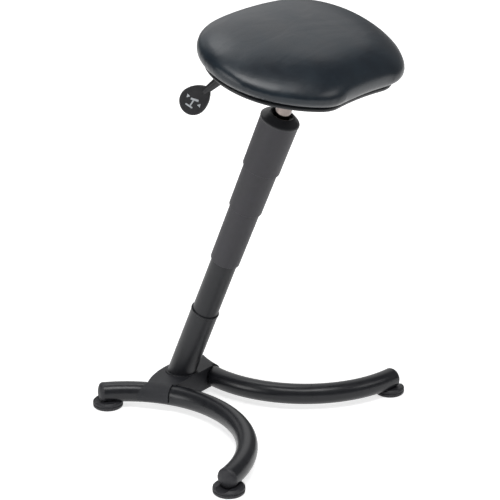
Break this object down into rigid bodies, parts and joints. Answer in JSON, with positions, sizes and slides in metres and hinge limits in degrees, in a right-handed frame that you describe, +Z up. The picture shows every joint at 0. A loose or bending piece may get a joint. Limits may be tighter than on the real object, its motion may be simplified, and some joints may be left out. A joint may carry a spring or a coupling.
{
  "type": "perch stool",
  "caption": "Leaning perch stool: padded seat on a telescopic gas-lift column, held by a saddle on two bowed base tubes with disc feet; it lifts and swivels.",
  "frame": {"origin": "on the floor, in the middle of the whole object's footprint", "axes": "+Z up; the sitter faces -Y and their right hand is on the -X side"},
  "size_m": [0.5494, 0.5182, 0.7637],
  "materials": {
    "tube_paint": "satin charcoal powder coat",
    "column_paint": "satin charcoal powder coat",
    "cover_plastic": "matte charcoal",
    "cap_plastic": "semi-gloss black",
    "foot_plastic": "matte black",
    "chrome": "polished",
    "steel": "zinc plated",
    "black_steel": "black",
    "rubber": "matte",
    "plywood": "raw birch plywood",
    "vinyl": "black artificial leather",
    "tray_plastic": "matte black",
    "bush_plastic": "natural nylon",
    "lever_plastic": "fine-grained black"
  },
  "bodies": {
    "base": {"base_tube_left": "tube_paint", "base_tube_right": "tube_paint", "saddle_bracket": "tube_paint", "column_tube": "column_paint", "standpipe": "column_paint", "tube_cap_front_left": "foot_plastic", "tube_cap_front_right": "foot_plastic", "tube_cap_rear_left": "foot_plastic", "tube_cap_rear_right": "foot_plastic", "foot_front_left": "foot_plastic", "foot_front_right": "foot_plastic", "foot_rear_left": "foot_plastic", "foot_rear_right": "foot_plastic", "foot_screws": "steel", "guide_bush": "bush_plastic", "piston_rod": "steel", "thrust_bearing": "steel", "bearing_washers": "steel", "damper_ring": "rubber", "clip_washer": "steel", "retaining_clip": "steel"},
    "cover_lower": {"cover_lower": "cover_plastic"},
    "cover_middle": {"cover_middle": "cover_plastic"},
    "lift": {"cover_upper": "cover_plastic", "column_cap": "cap_plastic"},
    "seat": {"gas_cylinder": "chrome", "rod_guide": "bush_plastic", "taper_socket": "black_steel", "mechanism_housing": "black_steel", "mounting_plate": "black_steel", "lever_cradle": "black_steel", "lever_pivot_pin": "steel", "seat_tray": "tray_plastic", "seat_board": "plywood", "cushion": "vinyl", "seat_screws": "steel", "tee_nuts": "steel"},
    "height_lever": {"lever_rod": "steel", "lever_handle": "lever_plastic"},
    "release_button": {"release_button": "steel"}
  },
  "joints": [
    {"name": "seat_lift", "type": "slide", "parent": "base", "child": "lift", "axis": [0, -0.3907, 0.9205], "range_m": [-0.2, 0]},
    {"name": "cover_middle_slide", "type": "slide", "parent": "base", "child": "cover_middle", "axis": [0, -0.3907, 0.9205], "range_m": [-0.13333, 0]},
    {"name": "cover_lower_slide", "type": "slide", "parent": "base", "child": "cover_lower", "axis": [0, -0.3907, 0.9205], "range_m": [-0.06667, 0]},
    {"name": "seat_swivel", "type": "hinge", "parent": "lift", "child": "seat", "pos_m": [0, -0.11394, 0.67473], "axis": [0, -0.3907, 0.9205], "continuous": true},
    {"name": "height_lever_pivot", "type": "hinge", "parent": "seat", "child": "height_lever", "pos_m": [-0.01582, -0.08845, 0.65499], "axis": [0.6947, 0.6915, 0.1983], "range_deg": [0, 7], "stiffness_Nm_per_rad": 2},
    {"name": "release_button_press", "type": "slide", "parent": "seat", "child": "release_button", "axis": [0, 0.3907, -0.9205], "range_m": [0, 0.00269]}
  ],
  "couplings": [
    {"joint": "cover_middle_slide", "follows": "seat_lift", "ratio": 0.66667},
    {"joint": "cover_lower_slide", "follows": "seat_lift", "ratio": 0.33333},
    {"joint": "release_button_press", "follows": "height_lever_pivot", "m_per_rad": 0.022}
  ]
}
